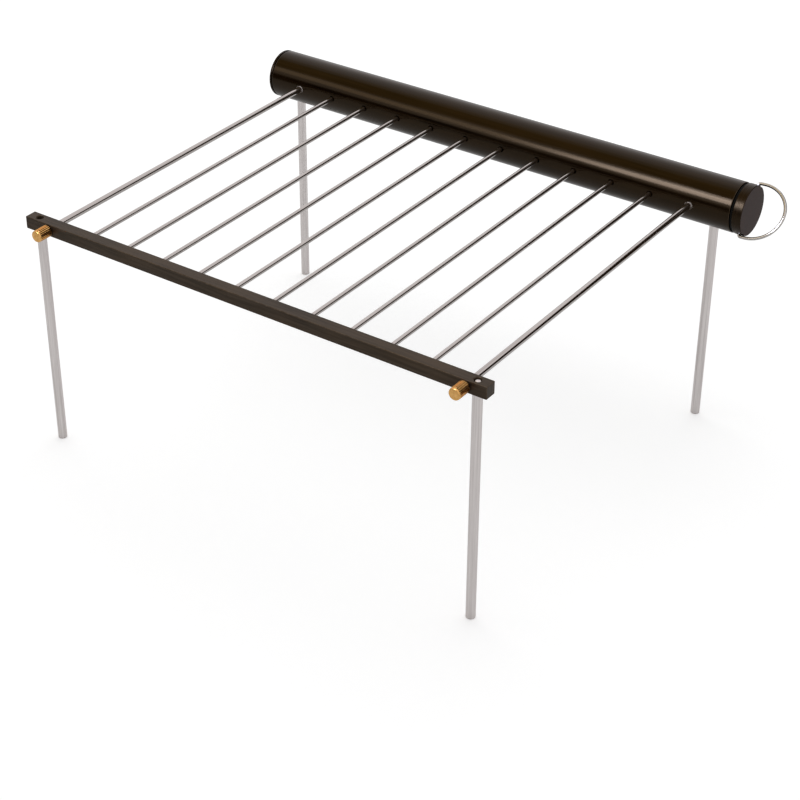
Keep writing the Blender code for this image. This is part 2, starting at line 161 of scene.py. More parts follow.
# Camera, worked out from the photograph's straight lines. Its place is counted from
# the middle of the tube, which a longer bail or nut doesn't move.
CAMERA_FROM_TUBE = Vector((0.608435, -0.992858, 0.555277))
CAMERA_RIGHT = Vector((0.81097, 0.58505, -0.00588))
CAMERA_UP = Vector((-0.31112, 0.43973, 0.84252))
CAMERA_LENS = 88.29
CAMERA_SENSOR = 36.0
CAMERA_SHIFT = (0.05173, -0.02666)
CAMERA_CLIP = 0.05


# Places in the frame

def box_middle(node):
    """Return the middle of a node's box."""
    low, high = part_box(node)
    return (low + high) / 2


def shift(x=0.0, y=0.0, z=0.0):
    """Return a move along the axes."""
    return Matrix.Translation((x, y, z))


TUBE_LOW, TUBE_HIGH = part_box("tube")
BAR_LOW, BAR_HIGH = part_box("front_bar")
TUBE_Y = box_middle("tube").y
AXIS_Z = box_middle("front_bar").z
TUBE_CENTRE = Vector((0.0, TUBE_Y, AXIS_Z))
TUBE_BOTTOM = AXIS_Z - TUBE_RADIUS
BAR_Y = box_middle("front_bar").y
BAR_HALF = (BAR_HIGH.z - BAR_LOW.z) / 2
THROUGH_BAR = 4 * BAR_HALF
CAP_HEAD_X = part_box("cap_seal")[1].x + GAP
CAP_PLACE = shift(CAP_HEAD_X, TUBE_Y, AXIS_Z) @ Matrix.Rotation(-BAIL_TILT, 4, "X")
CAP_SPIGOT_LENGTH = CAP_NECK_LENGTH + CAP_THREAD_LENGTH
ALONG_X = Matrix.Rotation(math.radians(90.0), 4, "Y")
ALONG_Y = Matrix.Rotation(math.radians(-90.0), 4, "X")
FRONT_LEGS = ("leg_front_left", "leg_front_right")
REAR_LEGS = ("leg_rear_left", "leg_rear_right")
CLAMP_RODS = ("clamp_rod_left", "clamp_rod_right")
GRILL_RODS = tuple(f"grill_rod_{number:02d}" for number in range(2, ROD_COUNT))
CLAMP_ROD_X = [box_middle(node).x for node in CLAMP_RODS]
GRILL_ROD_X = [box_middle(node).x for node in GRILL_RODS]
FRONT_LEG_X = [box_middle(node).x for node in FRONT_LEGS]
REAR_LEG_X = [box_middle(node).x for node in REAR_LEGS]


# Objects and meshes

def put_in_scene(name, data):
    """Put an object with a mesh, a lamp or a camera into the scene."""
    item = bpy.data.objects.new(name, data)
    bpy.context.scene.collection.objects.link(item)
    return item


def worked_mesh(item):
    """Return an object's mesh with its modifiers worked into it."""
    graph = bpy.context.evaluated_depsgraph_get()
    return bpy.data.meshes.new_from_object(item.evaluated_get(graph), depsgraph=graph)


def mesh_from(shape, name):
    """Return a mesh from a bmesh, which is freed."""
    mesh = bpy.data.meshes.new(name)
    shape.to_mesh(mesh)
    shape.free()
    return mesh


def moved_on(place, distance):
    """Return a place moved on along its own +Z."""
    return place @ shift(z=distance)


def on_tube_axis(x):
    """Return the place of a piece that is turned about the tube's axis."""
    return shift(x, TUBE_Y, AXIS_Z) @ ALONG_X


# Nodes of a tree

def feed(tree, node, inputs):
    """Give a node its inputs, each a plain value or a socket to link from."""
    for label, value in inputs.items():
        if isinstance(value, bpy.types.NodeSocket):
            tree.links.new(value, node.inputs[label])
        else:
            node.inputs[label].default_value = value


def add_node(tree, kind, inputs=None, **settings):
    """Add a node to a tree, with its settings and its inputs."""
    node = tree.nodes.new(kind)
    for name, value in settings.items():
        setattr(node, name, value)
    feed(tree, node, inputs or {})
    return node


def result_of(tree, kind, inputs=None, **settings):
    """Add a node to a tree and return its first output."""
    return add_node(tree, kind, inputs, **settings).outputs[0]


def add_math(tree, operation, first, second):
    """Return the result of one sum. Each side is a number or a socket."""
    return result_of(tree, "ShaderNodeMath", {0: first, 1: second}, operation=operation)


def multiply(tree, first, second):
    """Return a product of numbers or sockets."""
    return add_math(tree, "MULTIPLY", first, second)


def vector_length(tree, vector):
    """Return how long a vector is."""
    return add_node(tree, "ShaderNodeVectorMath", {0: vector}, operation="LENGTH").outputs["Value"]


def join_vector(tree, **parts):
    """Return a vector from its X, Y and Z parts. A part that isn't given is zero."""
    return result_of(tree, "ShaderNodeCombineXYZ", parts)


# Materials

# Sockets of a colour mix, which share their names with its other sockets
MIX_LOW_SOCKET = 6
MIX_HIGH_SOCKET = 7
MIX_RESULT_SOCKET = 2

# Scales of the patterns along each axis, and depths of the bumps
TURNING_SCALE = 2600.0
ANODISED_CLOUD_SCALE = (35.0, 110.0, 110.0)
ANODISED_SPECK_SCALE = (2200.0, 2200.0, 2200.0)
BRASS_CLOUD_SCALE = (700.0, 500.0, 700.0)
BRASS_MARKS_SCALE = (150.0, 6000.0, 150.0)
RUBBER_DUST_SCALE = (900.0, 900.0, 900.0)
STREAK_SHARE = 0.45
FINE_DEPTH = 0.00002
METAL_DEPTH = 0.00003
ANODISED_DEPTH = 0.00004
RUBBER_DEPTH = 0.00004

# Colours and gloss
METAL_IOR = 1.5
RUBBER_GLOSS = 1.20
STAIN_SHADE = 0.62
WARM_FACTORS = (1.45, 1.2, 0.85)
MOST_WARM = 0.55
ANODISED_SHEEN = (1.0, 0.73, 0.44)
ANODISED_COLOURS = ((0.0015, 0.0005, 0.0001), (0.0080, 0.0038, 0.0009))


def start_material(name, metallic, ior):
    """Return a material, its tree and its shader."""
    material = bpy.data.materials.new(name)
    material.use_nodes = True
    shader = material.node_tree.nodes["Principled BSDF"]
    shader.inputs["Metallic"].default_value = metallic
    shader.inputs["IOR"].default_value = ior
    return material, material.node_tree, shader


def object_place(tree):
    """Return the place on the piece."""
    return add_node(tree, "ShaderNodeTexCoord").outputs["Object"]


def stretched_place(tree, scale):
    """Return the place on the piece, scaled by axis, so that a grain can run along one."""
    return result_of(tree, "ShaderNodeMapping", {"Vector": object_place(tree), "Scale": scale})


def lathe_place(tree):
    """Return scaled distances along the tube's axis and from it, for turning marks."""
    inputs = {0: object_place(tree), 1: TUBE_CENTRE}
    offset = result_of(tree, "ShaderNodeVectorMath", inputs, operation="SUBTRACT")
    parts = add_node(tree, "ShaderNodeSeparateXYZ", {"Vector": offset}).outputs
    radius = vector_length(tree, join_vector(tree, Y=parts["Y"], Z=parts["Z"]))
    along, outward = (multiply(tree, part, TURNING_SCALE) for part in (parts["X"], radius))
    return join_vector(tree, X=along, Y=outward)


def add_noise(tree, place, detail=3.0, roughness=0.55):
    """Return a cloudy pattern from 0 to 1."""
    inputs = {"Vector": place, "Scale": 1.0, "Detail": detail, "Roughness": roughness}
    return result_of(tree, "ShaderNodeTexNoise", inputs)


def spread(tree, value, low, high, start=0.3, end=0.7):
    """Return a pattern stretched from start..end to low..high."""
    inputs = {"Value": value, "From Min": start, "From Max": end, "To Min": low, "To Max": high}
    return result_of(tree, "ShaderNodeMapRange", inputs)


def mix_colours(tree, share, low, high):
    """Return a colour between two colours, by a pattern. Each colour is a value or a socket."""
    low, high = ((*colour, 1.0) if isinstance(colour, tuple) else colour for colour in (low, high))
    inputs = {"Factor": share, MIX_LOW_SOCKET: low, MIX_HIGH_SOCKET: high}
    return add_node(tree, "ShaderNodeMix", inputs, data_type="RGBA").outputs[MIX_RESULT_SOCKET]


def add_bump(tree, height, strength, distance, below=None):
    """Return a normal raised by a pattern, on top of another normal."""
    inputs = {"Height": height, "Strength": strength, "Distance": distance}
    if below is not None:
        inputs["Normal"] = below
    return result_of(tree, "ShaderNodeBump", inputs)


def make_anodised(name, stretch, gloss, colours, roughness, bump):
    """Return dark bronze anodised aluminium. Its grain is stretched, or turned where that is None."""
    material, tree, shader = start_material(name, 0.0, gloss)
    shader.inputs["Specular Tint"].default_value = (*ANODISED_SHEEN, 1.0)
    place = stretched_place(tree, stretch) if stretch else lathe_place(tree)
    grain = add_noise(tree, place, detail=4.0, roughness=0.6)
    cloud = add_noise(tree, stretched_place(tree, ANODISED_CLOUD_SCALE))
    speck = add_noise(tree, stretched_place(tree, ANODISED_SPECK_SCALE), detail=2.0)
    dark, light = colours
    base = mix_colours(tree, spread(tree, grain, 0.0, 1.0, start=0.40, end=0.60), dark, light)
    warm = tuple(channel * factor for channel, factor in zip(light, WARM_FACTORS))
    fine = add_bump(tree, speck, strength=0.15, distance=FINE_DEPTH)
    feed(tree, shader, {
        "Base Color": mix_colours(tree, spread(tree, cloud, 0.0, MOST_WARM), base, warm),
        "Roughness": spread(tree, grain, *roughness),
        "Normal": add_bump(tree, grain, bump, ANODISED_DEPTH, fine),
    })
    return material


def make_bare_metal(name, stretch, colours, roughness, bump, smudge):
    """Return bare steel or aluminium with a stretched grain and faint smudges."""
    material, tree, shader = start_material(name, 1.0, METAL_IOR)
    grain = add_noise(tree, stretched_place(tree, stretch), detail=5.0, roughness=0.65)
    streak = tuple(factor * STREAK_SHARE for factor in stretch)
    cloud = add_noise(tree, stretched_place(tree, streak))
    dark, light = colours
    base = mix_colours(tree, spread(tree, grain, 0.0, 1.0), dark, light)
    stained = tuple(channel * STAIN_SHADE for channel in dark)
    stain = spread(tree, cloud, 0.0, smudge, start=0.58, end=0.75)
    feed(tree, shader, {
        "Base Color": mix_colours(tree, stain, base, stained),
        "Roughness": spread(tree, grain, *roughness),
        "Normal": add_bump(tree, grain, bump, METAL_DEPTH),
    })
    return material


def make_brass(name, dark, light, smooth, rough):
    """Return turned brass, mottled between a dark and a light colour by a cloud."""
    material, tree, shader = start_material(name, 1.0, METAL_IOR)
    cloud = add_noise(tree, stretched_place(tree, BRASS_CLOUD_SCALE), detail=4.0)
    marks = add_noise(tree, stretched_place(tree, BRASS_MARKS_SCALE))
    feed(tree, shader, {
        "Base Color": mix_colours(tree, spread(tree, cloud, 0.0, 1.0), dark, light),
        "Roughness": spread(tree, cloud, rough, smooth),
        "Normal": add_bump(tree, marks, strength=0.25, distance=FINE_DEPTH),
    })
    return material


def make_rubber(name, dark, light, roughness):
    """Return matt black rubber."""
    material, tree, shader = start_material(name, 0.0, RUBBER_GLOSS)
    dust = add_noise(tree, stretched_place(tree, RUBBER_DUST_SCALE), detail=4.0)
    feed(tree, shader, {
        "Base Color": mix_colours(tree, spread(tree, dust, 0.0, 1.0), dark, light),
        "Roughness": spread(tree, dust, *roughness),
        "Normal": add_bump(tree, dust, strength=0.3, distance=RUBBER_DEPTH),
    })
    return material


TUBE_FINISH = make_anodised(
    "tube_anodised",
    stretch=(12.0, 600.0, 600.0),
    gloss=1.325,
    colours=ANODISED_COLOURS,
    roughness=(0.13, 0.20),
    bump=0.25,
)
TURNED_FINISH = make_anodised(
    "turned_anodised",
    stretch=None,
    gloss=1.31,
    colours=ANODISED_COLOURS,
    roughness=(0.22, 0.32),
    bump=0.30,
)
FACE_FINISH = make_anodised(
    "faced_anodised",
    stretch=None,
    gloss=1.22,
    colours=((0.0150, 0.0050, 0.0055), (0.0210, 0.0075, 0.0075)),
    roughness=(0.34, 0.46),
    bump=0.35,
)
# Painted shade: near-black anodised for the seam between plug and tube, where shade falls
SEAM_PAINTED_SHADE = make_anodised(
    "painted_seam_shade",
    stretch=(400.0, 400.0, 400.0),
    gloss=1.12,
    colours=((0.0010, 0.0006, 0.0003), (0.0030, 0.0018, 0.0010)),
    roughness=(0.50, 0.65),
    bump=0.30,
)
BAR_FINISH = make_anodised(
    "bar_anodised",
    stretch=(30.0, 600.0, 600.0),
    gloss=1.36,
    colours=((0.0090, 0.0064, 0.0052), (0.0380, 0.0280, 0.0220)),
    roughness=(0.34, 0.46),
    bump=0.45,
)
# Lighter edges: partly wear, partly a painted highlight along edges that catch the light
EDGE_WEAR_AND_HIGHLIGHT = make_anodised(
    "worn_edge_and_painted_highlight",
    stretch=(400.0, 400.0, 400.0),
    gloss=1.29,
    colours=((0.034, 0.025, 0.018), (0.068, 0.052, 0.040)),
    roughness=(0.30, 0.42),
    bump=0.30,
)
BARE_FINISH = make_bare_metal(
    "bare_aluminium",
    stretch=(900.0, 900.0, 900.0),
    colours=((0.36, 0.31, 0.27), (0.48, 0.43, 0.38)),
    roughness=(0.60, 0.75),
    bump=0.30,
    smudge=0.2,
)
ROD_FINISH = make_bare_metal(
    "polished_rod_steel",
    stretch=(900.0, 12.0, 900.0),
    colours=((0.50, 0.465, 0.445), (0.58, 0.545, 0.525)),
    roughness=(0.05, 0.10),
    bump=0.08,
    smudge=0.5,
)
LEG_FINISH = make_bare_metal(
    "satin_leg_steel",
    stretch=(1300.0, 1300.0, 16.0),
    colours=((0.68, 0.63, 0.615), (0.90, 0.855, 0.84)),
    roughness=(0.28, 0.40),
    bump=0.35,
    smudge=0.6,
)
WIRE_FINISH = make_bare_metal(
    "bright_wire_steel",
    stretch=(500.0, 500.0, 500.0),
    colours=((0.50, 0.48, 0.45), (0.62, 0.60, 0.57)),
    roughness=(0.10, 0.16),
    bump=0.04,
    smudge=0.4,
)
BRASS_FINISH = make_brass(
    "turned_brass",
    dark=(0.66, 0.355, 0.10),
    light=(0.92, 0.53, 0.19),
    smooth=0.20,
    rough=0.32,
)
# Painted shade: brass made near black for the nuts' grooves between the ridges
GROOVE_PAINTED_SHADE = make_brass(
    "painted_groove_shade",
    dark=(0.020, 0.008, 0.002),
    light=(0.05, 0.022, 0.006),
    smooth=0.35,
    rough=0.50,
)
RUBBER_FINISH = make_rubber(
    "seal_rubber",
    dark=(0.002, 0.002, 0.0018),
    light=(0.006, 0.0055, 0.005),
    roughness=(0.55, 0.75),
)


# Trees for what repeats

def start_tree(name, sizes):
    """Return a geometry tree and its named inputs, a finish among them."""
    tree = bpy.data.node_groups.new(name, "GeometryNodeTree")
    for kind, labels in {**sizes, "Material": ("Finish",)}.items():
        for label in labels:
            tree.interface.new_socket(label, in_out="INPUT", socket_type=f"NodeSocket{kind}")
    tree.interface.new_socket("Geometry", in_out="OUTPUT", socket_type="NodeSocketGeometry")
    return tree, add_node(tree, "NodeGroupInput").outputs


def end_tree(tree, geometry, value):
    """Realise the copies, shade them smooth and give them the tree's finish."""
    real = result_of(tree, "GeometryNodeRealizeInstances", {"Geometry": geometry})
    smooth = result_of(tree, "GeometryNodeSetShadeSmooth", {"Geometry": real})
    inputs = {"Geometry": smooth, "Material": value["Finish"]}
    add_node(tree, "NodeGroupOutput", {"Geometry": result_of(tree, "GeometryNodeSetMaterial", inputs)})
    return tree


def pick_by_index(tree, values):
    """Return a number for each point, by its index."""
    node = add_node(tree, "GeometryNodeIndexSwitch", data_type="FLOAT")
    while len(node.index_switch_items) < len(values):
        node.index_switch_items.new()
    feed(tree, node, {"Index": result_of(tree, "GeometryNodeInputIndex")})
    feed(tree, node, {str(number): value for number, value in enumerate(values)})
    return node.outputs["Output"]


def add_pin_line(tree, length, chamfer):
    """Return a line along +Z with a point at each end and at each chamfer."""
    line = result_of(tree, "GeometryNodeMeshLine", {"Count": 4})
    heights = pick_by_index(tree, (0.0, chamfer, add_math(tree, "SUBTRACT", length, chamfer), length))
    inputs = {"Geometry": line, "Position": join_vector(tree, Z=heights)}
    moved = result_of(tree, "GeometryNodeSetPosition", inputs)
    return result_of(tree, "GeometryNodeMeshToCurve", {"Mesh": moved})


def sweep(tree, path, profile, scale=1.0):
    """Return the closed skin of a profile swept along a path."""
    inputs = {"Curve": path, "Profile Curve": profile, "Fill Caps": True, "Scale": scale}
    return result_of(tree, "GeometryNodeCurveToMesh", inputs)


def add_circle(tree, sides, radius):
    """Return a circle to sweep."""
    return result_of(tree, "GeometryNodeCurvePrimitiveCircle", {"Resolution": sides, "Radius": radius})


def add_ridge_section(tree, value, sunk_depth):
    """Return a ridge's section to sweep: a narrow crest on a wider base, sunk into the shank."""
    sunk = multiply(tree, sunk_depth, -1.0)
    half_base = multiply(tree, value["Ridge Width"], 0.5)
    half_crest = multiply(tree, value["Crest Width"], 0.5)
    less_base = multiply(tree, half_base, -1.0)
    less_crest = multiply(tree, half_crest, -1.0)
    inputs = {
        "Point 1": join_vector(tree, X=sunk, Y=less_base),
        "Point 2": join_vector(tree, X=value["Ridge Height"], Y=less_crest),
        "Point 3": join_vector(tree, X=value["Ridge Height"], Y=half_crest),
        "Point 4": join_vector(tree, X=sunk, Y=half_base),
    }
    return result_of(tree, "GeometryNodeCurvePrimitiveQuadrilateral", inputs, mode="POINTS")


def make_thread_tree():
    """A screw thread's ridge, right-handed about +Z, that fades out at both ends."""
    tree, value = start_tree("thread_ridge", {
        "Float": ("Radius", "Pitch", "Turns", "Ridge Height", "Ridge Width", "Crest Width", "Sunk Depth"),
        "Int": ("Steps Per Turn",),
    })
    spiral = result_of(tree, "GeometryNodeCurveSpiral", {
        "Resolution": value["Steps Per Turn"],
        "Rotations": value["Turns"],
        "Start Radius": value["Radius"],
        "End Radius": value["Radius"],
        "Height": multiply(tree, value["Pitch"], value["Turns"]),
        "Reverse": True,
    })
    upright = result_of(tree, "GeometryNodeSetCurveNormal", {"Curve": spiral}, mode="Z_UP")
    section = add_ridge_section(tree, value, value["Sunk Depth"])
    done = result_of(tree, "GeometryNodeSplineParameter")
    nearest = add_math(tree, "MINIMUM", done, add_math(tree, "SUBTRACT", 1.0, done))
    turns_in = multiply(tree, nearest, value["Turns"])
    rise = multiply(tree, turns_in, THREAD_RISE_PER_TURN)
    fade = add_math(tree, "MAXIMUM", add_math(tree, "MINIMUM", rise, 1.0), THREAD_END_SHARE)
    return end_tree(tree, sweep(tree, upright, section, fade), value)


def make_knurl_tree():
    """Straight ridges round +Z, each a bar with tapered ends."""
    tree, value = start_tree("knurl_ridges", {
        "Float": ("Radius", "Length", "Ridge Height", "Ridge Width", "Crest Width", "End Taper"),
        "Int": ("Count",),
    })
    path = add_pin_line(tree, value["Length"], value["End Taper"])
    section = add_ridge_section(tree, value, value["Ridge Height"])
    sizes = pick_by_index(tree, (NUT_RIDGE_TIP_SHARE, 1.0, 1.0, NUT_RIDGE_TIP_SHARE))
    out = join_vector(tree, X=value["Radius"])
    inputs = {"Geometry": sweep(tree, path, section, sizes), "Translation": out}
    ridge = result_of(tree, "GeometryNodeTransform", inputs)
    points = result_of(tree, "GeometryNodePoints", {"Count": value["Count"]})
    index = result_of(tree, "GeometryNodeInputIndex")
    angle = multiply(tree, add_math(tree, "DIVIDE", index, value["Count"]), math.tau)
    inputs = {"Points": points, "Instance": ridge, "Rotation": join_vector(tree, Z=angle)}
    return end_tree(tree, result_of(tree, "GeometryNodeInstanceOnPoints", inputs), value)


def make_rod_row_tree():
    """A row of equal rods along +Z, set out along +X, each chamfered at both ends."""
    tree, value = start_tree("rod_row", {
        "Float": ("Pitch", "Radius", "Length", "Chamfer"),
        "Int": ("Count", "Sides"),
    })
    path = add_pin_line(tree, value["Length"], value["Chamfer"])
    tip = add_math(tree, "SUBTRACT", 1.0, add_math(tree, "DIVIDE", value["Chamfer"], value["Radius"]))
    section = add_circle(tree, value["Sides"], value["Radius"])
    rod = sweep(tree, path, section, pick_by_index(tree, (tip, 1.0, 1.0, tip)))
    inputs = {"Count": value["Count"], "Offset": join_vector(tree, X=value["Pitch"])}
    row = result_of(tree, "GeometryNodeMeshLine", inputs)
    rods = result_of(tree, "GeometryNodeInstanceOnPoints", {"Points": row, "Instance": rod})
    return end_tree(tree, rods, value)


def make_wire_tree():
    """A round wire along the object's own edges."""
    tree, value = start_tree("bent_wire", {
        "Geometry": ("Geometry",),
        "Float": ("Radius",),
        "Int": ("Sides",),
    })
    path = result_of(tree, "GeometryNodeMeshToCurve", {"Mesh": value["Geometry"]})
    return end_tree(tree, sweep(tree, path, add_circle(tree, value["Sides"], value["Radius"])), value)


THREAD_TREE = make_thread_tree()
KNURL_TREE = make_knurl_tree()
ROD_ROW_TREE = make_rod_row_tree()
WIRE_TREE = make_wire_tree()


def grow(tree, place, settings, start=None):
    """Run a tree with its settings and return its plain mesh, moved to a place."""
    item = put_in_scene(tree.name, start or bpy.data.meshes.new(tree.name))
    modifier = item.modifiers.new(tree.name, "NODES")
    modifier.node_group = tree
    for entry in tree.interface.items_tree:
        if entry.in_out == "INPUT" and entry.name in settings:
            modifier[entry.identifier] = settings[entry.name]
    grown = worked_mesh(item)
    bpy.data.objects.remove(item)
    grown.transform(place)
    return grown


def grow_thread(
    place, radius, length, finish, inside=False, height=FINE_RIDGE, pitch=FINE_PITCH, width=FINE_THREAD_WIDTH
):
    """Return a thread ridge, standing out from a shank or inwards from a bore."""
    inward = -1.0 if inside else 1.0
    settings = {
        "Radius": radius,
        "Pitch": pitch,
        "Turns": (length - width) / pitch,
        "Ridge Height": inward * height,
        "Ridge Width": width,
        "Crest Width": width * THREAD_CREST_SHARE,
        "Sunk Depth": inward * THREAD_SUNK,
        "Steps Per Turn": THREAD_STEPS,
        "Finish": finish,
    }
    return grow(THREAD_TREE, moved_on(place, width / 2), settings)


def grow_leg_hole_thread(x, y, bottom, depth, finish):
    """Return the thread inside one leg's hole, which starts a little above the hole's mouth."""
    place = shift(x, y, bottom + THREAD_LEAD)
    return grow_thread(place, LEG_STUD_RADIUS + GAP, depth - THREAD_LEAD, finish, inside=True)


# Turned shapes

def eased_profile(corners):
    """Return a profile's points with its corners rounded.

    Each corner is (along, radius) or (along, radius, ease), where ease is how far back
    from the corner the rounding starts.
    """
    points = []
    count = len(corners)
    for number, corner in enumerate(corners):
        here = Vector(corner[:2])
        ease = corner[2] if len(corner) > 2 else 0.0
        if ease == 0.0:
            points.append(tuple(here))
            continue
        before = Vector(corners[(number - 1) % count][:2])
        after = Vector(corners[(number + 1) % count][:2])
        start = here + (before - here).normalized() * ease
        end = here + (after - here).normalized() * ease
        for step in range(EASE_STEPS + 1):
            share = step / EASE_STEPS
            point = start.lerp(here, share).lerp(here.lerp(end, share), share)
            points.append(tuple(point))
    return points


def add_turned(shape, profile, steps, place):
    """Turn a profile of (along, radius) points about a placed +Z line, inside a bmesh."""
    rings = []
    for along, radius in profile:
        if radius == 0.0:
            rings.append([shape.verts.new(place @ Vector((0.0, 0.0, along)))])
            continue
        ring = []
        for step in range(steps):
            angle = math.tau * (step + 0.5) / steps
            point = Vector((radius * math.cos(angle), radius * math.sin(angle), along))
            ring.append(shape.verts.new(place @ point))
        rings.append(ring)
    pairs = list(zip(rings, rings[1:]))
    if profile[0][1] > 0.0:
        pairs.append((rings[-1], rings[0]))
    for low, high in pairs:
        for step in range(steps):
            after = (step + 1) % steps
            band = (
                low[step % len(low)],
                low[after % len(low)],
                high[after % len(high)],
                high[step % len(high)],
            )
            corners = list(dict.fromkeys(band))
            if len(corners) > 2:
                shape.faces.new(corners)


def turned_mesh(name, corners, steps, place, finish):
    """Return the mesh of an eased profile turned about a placed +Z line."""
    shape = bmesh.new()
    add_turned(shape, eased_profile(corners), steps, place)
    bmesh.ops.recalc_face_normals(shape, faces=shape.faces)
    mesh = mesh_from(shape, name)
    mesh.materials.append(finish)
    return mesh


def split_span(start, end):
    """Return places from start to end, both included, for rings that are close enough."""
    count = max(1, math.ceil(abs(end - start) / RING_SPACING))
    return [start + (end - start) * number / count for number in range(count + 1)]


def add_drill(shape, mouth, direction, radius, depth, edge=0.0):
    """Add a drill to a bmesh: it enters at a mouth, along a direction, and may chamfer the mouth."""
    turn = direction.to_track_quat("Z", "Y").to_matrix().to_4x4()
    profile = [(-DRILL_OVERRUN, 0.0), (-DRILL_OVERRUN, radius + edge)]
    if edge > 0.0:
        profile += [(0.0, radius + edge), (edge, radius)]
    profile += [(depth, radius), (depth, 0.0)]
    add_turned(shape, profile, DRILL_STEPS, Matrix.Translation(mouth) @ turn)


def cut(mesh, shape):
    """Return a mesh with the closed shapes of a bmesh cut away."""
    bmesh.ops.recalc_face_normals(shape, faces=shape.faces)
    tool = put_in_scene("cutting_tool", mesh_from(shape, "cutting_tool"))
    work = put_in_scene("work", mesh)
    modifier = work.modifiers.new("cut", "BOOLEAN")
    modifier.operation = "DIFFERENCE"
    modifier.solver = "EXACT"
    modifier.object = tool
    result = worked_mesh(work)
    for item in (tool, work):
        bpy.data.objects.remove(item)
    return result


def join_meshes(name, meshes):
    """Return one mesh from several, with each one's finish kept."""
    shape = bmesh.new()
    finishes = []
    for mesh in meshes:
        start = len(shape.faces)
        shape.from_mesh(mesh)
        shape.faces.ensure_lookup_table()
        slots = []
        for finish in mesh.materials:
            if finish not in finishes:
                finishes.append(finish)
            slots.append(finishes.index(finish))
        for face in shape.faces[start:]:
            face.material_index = slots[face.material_index]
    joined = mesh_from(shape, name)
    for finish in finishes:
        joined.materials.append(finish)
    return joined


def paint_faces(mesh, finish, chosen):
    """Give a finish to the faces that a test chooses by middle and normal."""
    mesh.materials.append(finish)
    slot = len(mesh.materials) - 1
    for face in mesh.polygons:
        if chosen(face.center, face.normal):
            face.material_index = slot


def add_piece(name, meshes, body, slot, *nodes):
    """Put a finished piece into the scene: it rides on a body and stands for its nodes."""
    mesh = join_meshes(name, meshes)
    mesh.shade_smooth()
    mesh.set_sharp_from_angle(angle=SHARP_EDGE)
    item = put_in_scene(name, mesh)
    weighted = item.modifiers.new("weighted", "WEIGHTED_NORMAL")
    weighted.keep_sharp = True
    item.data = worked_mesh(item)
    item.modifiers.clear()
    item.data.name = name
    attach(item, body)
    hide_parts(*nodes)
    return item


# Tube and plug

def build_tube():
    """The carrying tube, with its drilled holes, recess and threads."""
    length = TUBE_HIGH.x - TUBE_LOW.x
    recess = length - CAP_RECESS_DEPTH
    profile = [(0.0, TUBE_BORE_RADIUS, TUBE_EDGE / 2), (0.0, TUBE_RADIUS, SEAM_EDGE)]
    profile += [(along, TUBE_RADIUS) for along in split_span(TUBE_PLAIN_END, length - TUBE_PLAIN_END)]
    profile += [(length, TUBE_RADIUS, TUBE_EDGE), (length, CAP_RECESS_RADIUS, TUBE_EDGE)]
    profile.append((recess, CAP_RECESS_RADIUS))
    profile += [(along, TUBE_BORE_RADIUS) for along in split_span(recess, TUBE_EDGE)[:-1]]
    shell = turned_mesh("tube", profile, TUBE_STEPS, on_tube_axis(TUBE_LOW.x), TUBE_FINISH)
    drills = bmesh.new()
    for hole_places, rod_radius in ((CLAMP_ROD_X, CLAMP_ROD_RADIUS), (GRILL_ROD_X, GRILL_ROD_RADIUS)):
        for x in hole_places:
            mouth = Vector((x, TUBE_Y - TUBE_RADIUS, AXIS_Z))
            add_drill(drills, mouth, BACKWARD, rod_radius + GAP, THROUGH_WALL, ROD_HOLE_EDGE)
    for x in REAR_LEG_X:
        add_drill(drills, Vector((x, TUBE_Y, TUBE_BOTTOM)), UPWARD, LEG_STUD_RADIUS + GAP, THROUGH_WALL)
    shell = cut(shell, drills)
    hole_reach = CLAMP_ROD_RADIUS + GAP + ROD_HOLE_EDGE

    def is_bare(place, normal):
        """The clamp rods' hole edges, where the dye has been cut away."""
        in_front = place.y < TUBE_Y - TUBE_BORE_RADIUS and abs(normal.y) < FLAT
        return in_front and any(math.hypot(place.x - x, place.z - AXIS_Z) < hole_reach for x in CLAMP_ROD_X)

    def is_worn(place, normal):
        """The two end edges, painted lighter: wear and a painted edge highlight."""
        rim = math.hypot(place.y - TUBE_Y, place.z - AXIS_Z) > TUBE_BORE_RADIUS
        at_end = min(place.x - TUBE_LOW.x, TUBE_HIGH.x - place.x) < SEAM_EDGE
        return rim and at_end and SLOPED < abs(normal.x) < FLAT

    paint_faces(shell, EDGE_WEAR_AND_HIGHLIGHT, is_worn)
    paint_faces(shell, BARE_FINISH, is_bare)
    mouth = CAP_PLACE @ shift(TUBE_HIGH.x - CAP_HEAD_X) @ ALONG_X
    start = CAP_THREAD_PITCH / 2 - CAP_SPIGOT_LENGTH + (CAP_HEAD_X - TUBE_HIGH.x)
    pieces = [shell, grow_thread(
        moved_on(mouth, start),
        CAP_RECESS_RADIUS,
        -start - TUBE_EDGE,
        TUBE_FINISH,
        inside=True,
        height=CAP_RECESS_RADIUS - CAP_RECESS_CREST,
        pitch=CAP_THREAD_PITCH,
        width=CAP_THREAD_WIDTH,
    )]
    pieces += [grow_leg_hole_thread(x, TUBE_Y, TUBE_BOTTOM, TUBE_WALL, TUBE_FINISH) for x in REAR_LEG_X]
    return add_piece("tube", pieces, "grill", "dark_anodised", "tube")


